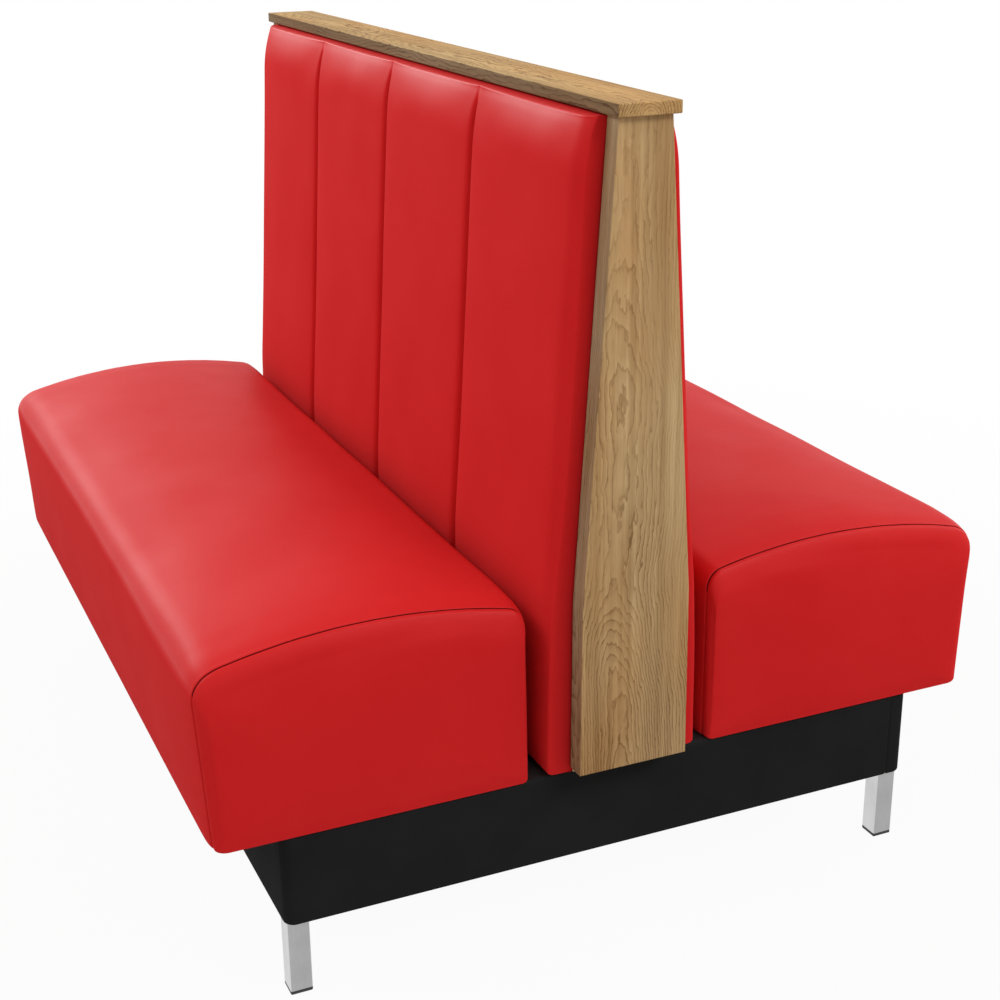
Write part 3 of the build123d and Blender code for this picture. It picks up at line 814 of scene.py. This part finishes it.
def base_skin():
    """The black vinyl round the base: folded under, soft at its lower edge, seamed on each end."""
    levels = [(BASE_RETURN, 0), (BASE_RETURN * 0.6, 0), (BASE_EDGE * 1.6, 0)]
    for angle in np.linspace(0, 90, BASE_EDGE_POINTS):
        turn = math.radians(angle)
        levels.append((BASE_EDGE * (1 - math.sin(turn)), BASE_EDGE * (1 - math.cos(turn))))
    height = BASE_HIGH.z - BASE_LOW.z
    top_inset, top_drop = BASE_TOP_EDGE
    levels += [(0, z) for z in np.linspace(BASE_EDGE * 1.5, height - top_drop, BASE_LEVELS)]
    levels += [(top_inset, height)]
    rows = []
    for inset, rise in levels:
        plan = rounded_plan(inset + BASE_SKIN_INSET)
        rows.append(np.column_stack([plan, np.full(len(plan), BASE_LOW.z + rise)]))
    skin = skin_object("base_black_vinyl", np.array(rows), closed=True)
    return turn_outward(skin, (0, 0, (BASE_LOW.z + BASE_HIGH.z) / 2))


# Materials


class Shader:
    """A material's node tree with short calls for the nodes that it needs."""

    def __init__(self, name, **fixed):
        self.material = bpy.data.materials.new(name)
        self.material.use_nodes = True
        self.tree = self.material.node_tree
        self.main = self.tree.nodes["Principled BSDF"]
        for key, value in fixed.items():
            self.main.inputs[key.replace("_", " ")].default_value = value

    def node(self, kind, **values):
        """Add a node, setting its properties by name and its inputs by label."""
        made = self.tree.nodes.new(kind)
        for key, value in values.items():
            if hasattr(made, key):
                setattr(made, key, value)
            else:
                made.inputs[key.replace("_", " ")].default_value = value
        return made

    def link(self, out, into):
        """Join two sockets."""
        self.tree.links.new(out, into)

    def feed(self, value, socket):
        """Link a socket, or set a number or colour."""
        if isinstance(value, (int, float)):
            socket.default_value = value
        elif isinstance(value, tuple):
            socket.default_value = (*value, 1)
        else:
            self.link(value, socket)

    def coat(self, colour, rough, normal):
        """Link the main shader's colour, roughness and normal."""
        for label, out in (("Base Color", colour), ("Roughness", rough), ("Normal", normal)):
            self.link(out, self.main.inputs[label])

    def facing(self, axis, low, high, out_low=0.0, out_high=1.0, both=True):
        """A range by how far a face looks along an axis, and against it too if asked."""
        surface = self.node("ShaderNodeNewGeometry")
        parts = self.node("ShaderNodeSeparateXYZ")
        self.link(surface.outputs["Normal"], parts.inputs["Vector"])
        share = parts.outputs[axis]
        if both:
            share = self.math("ABSOLUTE", share)
        return self.spread(share, low, high, out_low, out_high)

    def tinted(self, share, colour, tint):
        """A colour times a tint where a share says so."""
        return self.blend(share, colour, self.blend(1.0, colour, tint, "MULTIPLY"))

    def place(self, scale=(1, 1, 1)):
        """Object coordinates, stretched."""
        mapping = self.node("ShaderNodeMapping", Scale=scale)
        self.link(self.node("ShaderNodeTexCoord").outputs["Object"], mapping.inputs["Vector"])
        return mapping.outputs["Vector"]

    def noise(self, vector, scale, detail=3.0, rough=0.5, distortion=0.0):
        """A noise texture's grey output."""
        values = {"Scale": scale, "Detail": detail, "Roughness": rough, "Distortion": distortion}
        made = self.node("ShaderNodeTexNoise", **values)
        self.link(vector, made.inputs["Vector"])
        return made.outputs["Fac"]

    def math(self, kind, *values):
        """A sum, product or the like of sockets or numbers."""
        made = self.node("ShaderNodeMath", operation=kind)
        for socket, value in zip(made.inputs, values):
            self.feed(value, socket)
        return made.outputs[0]

    def times(self, a, b):
        """A product."""
        return self.math("MULTIPLY", a, b)

    def plus(self, a, b):
        """A sum."""
        return self.math("ADD", a, b)

    def weigh(self, a, share_a, b, share_b):
        """Two sockets, each times a number, added."""
        return self.plus(self.times(a, share_a), self.times(b, share_b))

    def spread(self, value, low, high, out_low, out_high):
        """Map one range of a socket to another."""
        labels = ("From_Min", "From_Max", "To_Min", "To_Max")
        values = dict(zip(labels, (low, high, out_low, out_high)))
        made = self.node("ShaderNodeMapRange", clamp=True, **values)
        self.link(value, made.inputs["Value"])
        return made.outputs["Result"]

    def wander(self, value, low, high):
        """A noise's middle range, mapped to another."""
        return self.spread(value, *NOISE_MIDDLE, low, high)

    def ramp(self, value, stops):
        """Colours along a grey socket."""
        made = self.node("ShaderNodeValToRGB")
        elements = made.color_ramp.elements
        while len(elements) < len(stops):
            elements.new(0.5)
        for element, (place, colour) in zip(elements, stops):
            element.position = place
            element.color = (*colour, 1)
        self.link(value, made.inputs["Fac"])
        return made.outputs["Color"]

    def blend(self, fac, a, b, kind="MIX"):
        """Mix two colours by a socket or number."""
        made = self.node("ShaderNodeMix", data_type="RGBA", blend_type=kind)
        for index, value in ((0, fac), (6, a), (7, b)):
            self.feed(value, made.inputs[index])
        return made.outputs[2]

    def bump(self, height, distance, strength=1.0, under=None):
        """A bump from a grey socket, over another bump if given."""
        made = self.node("ShaderNodeBump", Distance=distance, Strength=strength)
        self.link(height, made.inputs["Height"])
        if under is not None:
            self.link(under, made.inputs["Normal"])
        return made.outputs["Normal"]


def vinyl(name, colour, deep, rough, rubbed, worn, gloss, grain=1.0):
    """Upholstery vinyl: pebble grain, slow unevenness, rubbed upper edges and worn flat tops."""
    s = Shader(name, Specular_IOR_Level=gloss)
    place = s.place()
    slow = s.noise(place, VINYL_SLOW, 2.0)
    fine = s.noise(place, VINYL_FINE, 3.0)
    pebble = s.node("ShaderNodeTexVoronoi", feature="SMOOTH_F1", Scale=VINYL_PEBBLE)
    s.link(place, pebble.inputs["Vector"])
    grain_height = s.weigh(pebble.outputs["Distance"], 0.7, fine, 0.4)
    under = s.bump(s.noise(place, VINYL_WAVE, 2.0), VINYL_WAVE_DEPTH, 0.3)
    edges = s.facing("Z", *POLISH_FROM_TO, rough, rubbed, both=False)
    flats = s.facing("Z", *FLAT_FROM_TO, 0.0, worn - rubbed, both=False)
    uneven = s.wander(s.weigh(slow, 0.6, fine, 0.4), *VINYL_ROUGH_SWAY)
    s.coat(
        s.blend(s.wander(slow, 0.0, 1.0), colour, deep),
        s.plus(s.plus(edges, flats), uneven),
        s.bump(grain_height, VINYL_GRAIN_DEPTH, grain, under),
    )
    return s.material


def oak(name, along, tones, painted_edge_shade, board, pith, calm, seed):
    """Flat sawn oak: rings about a leaning pith, pores along the grain and painted shade that
    darkens its sawn edges.

    The board is its low end, bend and high end. The pith is its two depths up to the bend, its
    rise after it, its depth's sway and its place across. The calm is a length from start to stop
    where the figure goes from strong to faint, with painted shade that darkens the tone at its
    start.
    """
    s = Shader(name, Specular_IOR_Level=OAK_GLOSS)
    light, mid, dark = tones
    split = s.node("ShaderNodeSeparateXYZ")
    s.link(s.node("ShaderNodeTexCoord").outputs["Object"], split.inputs["Vector"])
    across = split.outputs["Y"]
    depth, length = (split.outputs[axis] for axis in {"z": "XZ", "x": "ZX"}[along])

    def layer(label):
        """One of the noises that are stretched along the grain."""
        cross, lengthwise, shift, detail, rough = OAK_LAYERS[label]
        joined = s.node("ShaderNodeCombineXYZ")
        s.link(s.times(across, cross), joined.inputs["X"])
        place = s.plus(s.times(length, lengthwise), seed + shift)
        s.link(place, joined.inputs["Y"])
        s.link(s.times(depth, cross), joined.inputs["Z"])
        return s.noise(joined.outputs["Vector"], 1.0, detail, rough)

    low, bend, high = board
    depths, rise, sway, aside = pith
    lean = s.plus(s.spread(length, low, bend, *depths), s.spread(length, bend, high, 0.0, rise))
    pith_depth = s.plus(lean, s.wander(layer("lean"), -sway, sway))
    drift = s.wander(layer("sway"), -PITH_SWAY, PITH_SWAY)
    a = s.math("SUBTRACT", across, s.plus(drift, aside))
    d = s.math("SUBTRACT", depth, pith_depth)
    squares = s.plus(s.times(a, a), s.times(d, d))
    bends = s.weigh(layer("warp"), 3.0, layer("jag"), 1.5)
    rings = s.times(s.math("SQRT", squares), RINGS_PER_METRE)
    phase = s.math("FRACT", s.plus(rings, bends))
    swell, sharp, fall = (s.spread(phase, *values) for values in RING_SHAPE)
    band = s.times(s.plus(swell, sharp), fall)
    start, stop, strong, faint, painted_foot_shade = calm
    strength = s.spread(length, start, stop, strong, faint)
    figure = s.times(s.spread(layer("patch"), 0.32, 0.68, 0.35, 1.0), strength)
    band = s.times(band, figure)
    fibre = layer("fibre")
    open_pores = s.spread(fibre, 0.56, 0.68, 0.0, 1.0)
    pores = s.times(open_pores, s.spread(band, 0.0, 0.5, 0.35, 1.0))
    tone = s.plus(s.wander(layer("streak"), 0.0, 0.34), s.wander(layer("broad"), 0.0, 0.32))
    # Painted shade: the tone darkens towards the calm's start, the lower part of the upright boards
    tone = s.plus(tone, s.spread(length, start, stop, painted_foot_shade, 0.0))
    tone = s.plus(s.times(band, RING_TONE), tone)
    base = s.ramp(tone, ((0.05, light), (0.40, mid), (1.0, dark)))
    base = s.blend(s.times(pores, PORE_TONE), base, tuple(0.6 * c for c in dark))
    base = s.tinted(s.spread(layer("blush"), 0.42, 0.64, 0.0, 1.0), base, OAK_BLUSH)
    # Painted shade: faces that look along y, the sawn edges, are multiplied darker
    base = s.tinted(s.facing("Y", *PAINTED_SHADE_FACING), base, painted_edge_shade)
    height = s.math("SUBTRACT", s.times(band, -0.5), s.times(pores, 0.5))
    s.coat(base, s.wander(fibre, *OAK_ROUGH), s.bump(height, OAK_GRAIN_DEPTH, 0.7))
    return s.material


def brushed_steel():
    """Brushed legs: upright scratches, slow smudges, and painted shade that darkens the faces
    towards the booth's ends.
    """
    s = Shader("brushed_steel", Metallic=1.0)
    scratch = s.noise(s.place(STEEL_SCRATCH), 1.0, 2.0, 0.6)
    tone = s.weigh(scratch, 0.5, s.noise(s.place(), STEEL_SMUDGE, 3.0), 0.5)
    metal = s.ramp(tone, ((0.3, STEEL_TONES[0]), (0.7, STEEL_TONES[1])))
    # Painted shade: faces that look along x are multiplied darker
    colour = s.tinted(s.facing("X", *PAINTED_SHADE_FACING), metal, STEEL_END_PAINTED_SHADE)
    s.coat(colour, s.wander(tone, *STEEL_ROUGH), s.bump(scratch, STEEL_GRAIN_DEPTH, 0.5))
    return s.material


def mottled(name, light, dark, scale, rough, depth, **fixed):
    """A plain matte material with a fine mottle, for plastic, cloth, foam, zinc and paint."""
    s = Shader(name, **fixed)
    fine = s.noise(s.place(), scale, 4.0, 0.6)
    colour = s.ramp(fine, ((0.3, dark), (0.7, light)))
    s.coat(colour, s.wander(fine, rough - 0.05, rough + 0.05), s.bump(fine, depth, 0.6))
    return s.material


def plywood(name):
    """Bare plywood and timber with long soft grain."""
    s = Shader(name)
    grain = s.noise(s.place(PLY_GRAIN), 3.0, 4.0, 0.6, 0.4)
    colour = s.ramp(grain, ((0.3, PLY_TONES[0]), (0.7, PLY_TONES[1])))
    s.coat(colour, s.wander(grain, *PLY_ROUGH), s.bump(grain, PLY_GRAIN_DEPTH, 0.4))
    return s.material


def dress(obj, material):
    """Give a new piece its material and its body."""
    obj.data.materials.clear()
    obj.data.materials.append(material)
    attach(obj, "root")


def paint(node, material):
    """Give a CAD node a better material."""
    for slot in frame["nodes"][node].material_slots:
        slot.material = material


NOISE_MIDDLE = (0.3, 0.7)
# How squarely a face looks along an axis before it takes the painted shade on oak edges and steel
# ends
PAINTED_SHADE_FACING = (0.6, 0.9)
VINYL_SLOW, VINYL_WAVE, VINYL_FINE, VINYL_PEBBLE = 9.0, 26.0, 260.0, 780.0
VINYL_WAVE_DEPTH = 0.9 * MM
VINYL_GRAIN_DEPTH = 0.12 * MM
VINYL_ROUGH_SWAY = (-0.04, 0.05)
POLISH_FROM_TO = (0.10, 0.40)
FLAT_FROM_TO = (0.80, 0.96)

# Each noise of the oak: stretch across and along, shift of its seed, detail and roughness
OAK_LAYERS = {
    "lean": (1.0, 4.5, 0, 2.0, 0.4),
    "sway": (1.0, 3.0, 9, 2.0, 0.4),
    "warp": (30.0, 7.0, 0, 2.0, 0.5),
    "jag": (120.0, 34.0, 3, 2.0, 0.6),
    "patch": (26.0, 6.0, 5, 2.0, 0.5),
    "fibre": (1100.0, 26.0, 0, 2.0, 0.6),
    "streak": (150.0, 1.6, 2, 3.0, 0.65),
    "broad": (22.0, 2.0, 7, 2.0, 0.5),
    "blush": (11.0, 2.6, 11, 2.0, 0.5),
}
RINGS_PER_METRE = 270.0
RING_SHAPE = ((0.0, 0.70, 0.0, 0.36), (0.70, 0.84, 0.0, 0.64), (0.88, 1.0, 1.0, 0.0))
RING_TONE = 0.86
PORE_TONE = 0.42
PITH_SWAY = 12.0 * MM
OAK_BLUSH = (0.95, 0.84, 0.74)
OAK_ROUGH = (0.60, 0.70)
OAK_GLOSS = 0.04
OAK_GRAIN_DEPTH = 0.3 * MM
OAK_TONES = ((0.63, 0.440, 0.228), (0.47, 0.306, 0.146), (0.23, 0.127, 0.051))
# Painted shade multiplied onto the upright oak's sawn edges
OAK_EDGE_PAINTED_SHADE = (0.72, 0.78, 0.92)
UPRIGHT_BOARD = (0.24, 0.46, 1.06)
UPRIGHT_PITH = ((0.636, 0.604), -0.018, 0.007, -0.020)
# The last number is painted shade, darkening the upright boards towards the bottom
UPRIGHT_CALM = (0.34, 0.62, 1.0, 0.50, 0.10)
CAP_TONES = ((0.72, 0.505, 0.240), (0.55, 0.365, 0.165), (0.24, 0.132, 0.052))
# Painted shade multiplied onto the cap's sawn edges
CAP_EDGE_PAINTED_SHADE = (0.44, 0.45, 0.54)
FLAT_BOARD = (-0.65, 0.0, 0.65)
FLAT_PITH = ((1.000, 1.030), 0.016, 0.008, -0.006)
FLAT_CALM = (-0.65, 0.65, 0.9, 0.9, 0.0)

STEEL_SCRATCH = (2400, 2400, 30)
STEEL_SMUDGE = 30.0
STEEL_TONES = ((0.58, 0.58, 0.58), (0.73, 0.73, 0.73))
# Painted shade multiplied onto the legs' faces that look along the booth
STEEL_END_PAINTED_SHADE = (0.62, 0.62, 0.62)
STEEL_ROUGH = (0.30, 0.42)
STEEL_GRAIN_DEPTH = 0.03 * MM
PLY_GRAIN = (6, 60, 60)
PLY_GRAIN_DEPTH = 0.2 * MM
PLY_TONES = ((0.42, 0.27, 0.14), (0.6, 0.43, 0.25))
PLY_ROUGH = (0.6, 0.75)


def grey(value):
    """A plain grey."""
    return (value, value, value)


RED = vinyl("red_vinyl", (0.625, 0.0150, 0.0155), (0.605, 0.0132, 0.0142), 0.96, 0.42, 0.54, 0.12)
BLACK = vinyl("black_vinyl", grey(0.0146), grey(0.0118), 0.92, 0.6, 0.6, 0.06, 0.8)
# Painted shade: a dark red for the turned-in seam lips, standing for the shade deep in the seam
# crease
SEAM_PAINTED_SHADE = mottled(
    "seam_painted_shade", (0.170, 0.006, 0.006), (0.120, 0.004, 0.004), 900.0, 0.9, 0.05 * MM,
    Specular_IOR_Level=0.05,
)
OAK_UPRIGHT = oak(
    "oak_upright", "z", OAK_TONES, OAK_EDGE_PAINTED_SHADE, UPRIGHT_BOARD, UPRIGHT_PITH, UPRIGHT_CALM, 3.1
)
OAK_FLAT = oak("oak_flat", "x", CAP_TONES, CAP_EDGE_PAINTED_SHADE, FLAT_BOARD, FLAT_PITH, FLAT_CALM, 8.4)
STEEL = brushed_steel()
PLUG = mottled("black_plastic", grey(0.016), grey(0.010), 900.0, 0.5, 0.05 * MM)
DECK = mottled("black_paint", grey(0.015), grey(0.010), 240.0, 0.6, 0.1 * MM)
CLOTH = mottled("lining_cloth", (0.022, 0.022, 0.023), grey(0.012), 1200.0, 0.9, 0.1 * MM)
FOAM = mottled("cushion_foam", (0.82, 0.74, 0.50), (0.70, 0.62, 0.40), 500.0, 0.95, 0.4 * MM)
PLY = plywood("plywood")
ZINC = mottled(
    "zinc", (0.5, 0.5, 0.48), (0.4, 0.4, 0.38), 300.0, 0.4, 0.03 * MM, Metallic=1.0
)


def build_seat(side_name, side, points, kinds):
    """One seat's covers, foam and dust cover, in place of their plain solids."""
    covers = seat_covers(side_name, side, points, kinds)
    nodes = {"wrap": f"seat_{side_name}_cover_wrap"}
    nodes.update({end_name: f"seat_{side_name}_cover_end_{end_name}" for end_name in ENDS})
    for part, (piece, lips) in covers.items():
        dress(piece, RED)
        piece.data.materials.append(SEAM_PAINTED_SHADE)
        # Painted shade: lips near the crown take the dark seam material so the crease shows as a
        # dark line
        for face in (piece.data.polygons[index] for index in lips):
            if face.center.z > SEAT_PEAK - SEAM_PAINTED_SHADE_REACH:
                face.material_index = 1
        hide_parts(nodes[part])
    foam = seat_foam(side_name, side, points)
    dress(foam, FOAM)
    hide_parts(f"seat_{side_name}_foam")
    cloth, flat = dust_cover(side_name, side)
    dress(cloth, CLOTH)
    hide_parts(f"seat_{side_name}_dust_cover")


def build_back(side_name, side, points):
    """One back pad's cover and foam, in place of their plain solids."""
    cover = back_pad(side_name, side, points)
    dress(cover, RED)
    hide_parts(f"back_cover_{side_name}")
    foam = pad_foam(side_name, side, points)
    dress(foam, FOAM)
    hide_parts(f"back_foam_{side_name}")


def build_soft_pieces():
    """Every vinyl, foam and cloth piece."""
    points, kinds = seat_body()
    pad = pad_body()
    for side_name, side in SIDES.items():
        build_seat(side_name, side, points, kinds)
        build_back(side_name, side, pad)
    skin = base_skin()
    dress(skin, BLACK)
    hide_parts("base_cover")


def paint_nodes():
    """Materials for the CAD nodes that stay."""
    by_slot = dict(
        foam=FOAM, frame_wood=PLY, deck_black=DECK, leg_steel=STEEL, foot_plastic=PLUG,
        screw_steel=ZINC, dust_cloth=CLOTH, vinyl_red=RED, vinyl_black=BLACK, oak=OAK_UPRIGHT,
    )
    for row in frame["record"]["subparts"]:
        paint(row["node"], by_slot[row["material_slot"]])
    paint("cap_board", OAK_FLAT)


# Light, floor and camera


def white_rays(nodes, links):
    """A socket that is one for the rays that see the background, straight or by a surface."""
    path = nodes.new("ShaderNodeLightPath")
    total = path.outputs["Is Camera Ray"]
    for label in ("Is Glossy Ray", "Is Transmission Ray"):
        join = nodes.new("ShaderNodeMath")
        join.operation = "MAXIMUM"
        links.new(total, join.inputs[0])
        links.new(path.outputs[label], join.inputs[1])
        total = join.outputs[0]
    return total


def floor_material():
    """A floor that fades to plain white away from the booth and keeps the booth's soft shadow."""
    s = Shader("white_floor", Base_Color=(0.5, 0.5, 0.5, 1), Roughness=0.9, Specular_IOR_Level=0.1)
    away = s.node("ShaderNodeVectorMath", operation="LENGTH")
    s.link(s.node("ShaderNodeTexCoord").outputs["Object"], away.inputs[0])
    share = s.spread(away.outputs["Value"], *FLOOR_FADE, FLOOR_WHITE, 1.0)
    seen = s.times(share, white_rays(s.tree.nodes, s.tree.links))
    white = s.node("ShaderNodeEmission", Color=(1, 1, 1, 1))
    mix = s.node("ShaderNodeMixShader")
    s.link(seen, mix.inputs["Fac"])
    s.link(s.main.outputs[0], mix.inputs[1])
    s.link(white.outputs[0], mix.inputs[2])
    s.link(mix.outputs[0], s.tree.nodes["Material Output"].inputs["Surface"])
    return s.material


def build_stage():
    """The floor under the booth."""
    signs = ((-1, -1), (1, -1), (1, 1), (-1, 1))
    corners = [(x * FLOOR_HALF, y * FLOOR_HALF, 0) for x, y in signs]
    floor = mesh_object("floor", corners, [(0, 1, 2, 3)], smooth=False)
    floor.data.materials.append(floor_material())


def area_light(name, place, size, strength):
    """A soft lamp that faces the booth, with its strength as the brightness of its face."""
    data = bpy.data.lights.new(name, "AREA")
    data.shape = "RECTANGLE"
    data.size, data.size_y = size
    data.energy = strength * math.pi * size[0] * size[1]
    lamp = add_object(name, data)
    lamp.location = place
    lamp.rotation_euler = (Vector(LAMP_TARGET) - Vector(place)).to_track_quat("-Z", "Y").to_euler()


def build_light():
    """A white surround, and seven soft lamps behind, before, beside and over the booth."""
    world = bpy.data.worlds.new("surround")
    bpy.context.scene.world = world
    world.use_nodes = True
    nodes, links = world.node_tree.nodes, world.node_tree.links
    nodes.clear()
    out = nodes.new("ShaderNodeOutputWorld")
    mix = nodes.new("ShaderNodeMixShader")
    links.new(white_rays(nodes, links), mix.inputs["Fac"])
    for index, strength in ((1, SURROUND), (2, 1.0)):
        shown = nodes.new("ShaderNodeBackground")
        shown.inputs["Color"].default_value = (1, 1, 1, 1)
        shown.inputs["Strength"].default_value = strength
        links.new(shown.outputs[0], mix.inputs[index])
    links.new(mix.outputs[0], out.inputs["Surface"])
    for name, place, size, strength in LAMPS:
        area_light(name, place, size, strength)


def build_camera():
    """The photograph's view."""
    data = bpy.data.cameras.new("camera")
    data.sensor_width = CAMERA_SENSOR
    data.lens = CAMERA_LENS
    camera = add_object("camera", data)
    camera.location = CAMERA_PLACE
    camera.rotation_euler = [math.radians(a) for a in CAMERA_TURN_DEG]
    bpy.context.scene.camera = camera


build_soft_pieces()
paint_nodes()
build_stage()
build_light()
build_camera()
bpy.context.scene.view_settings.view_transform = "Standard"
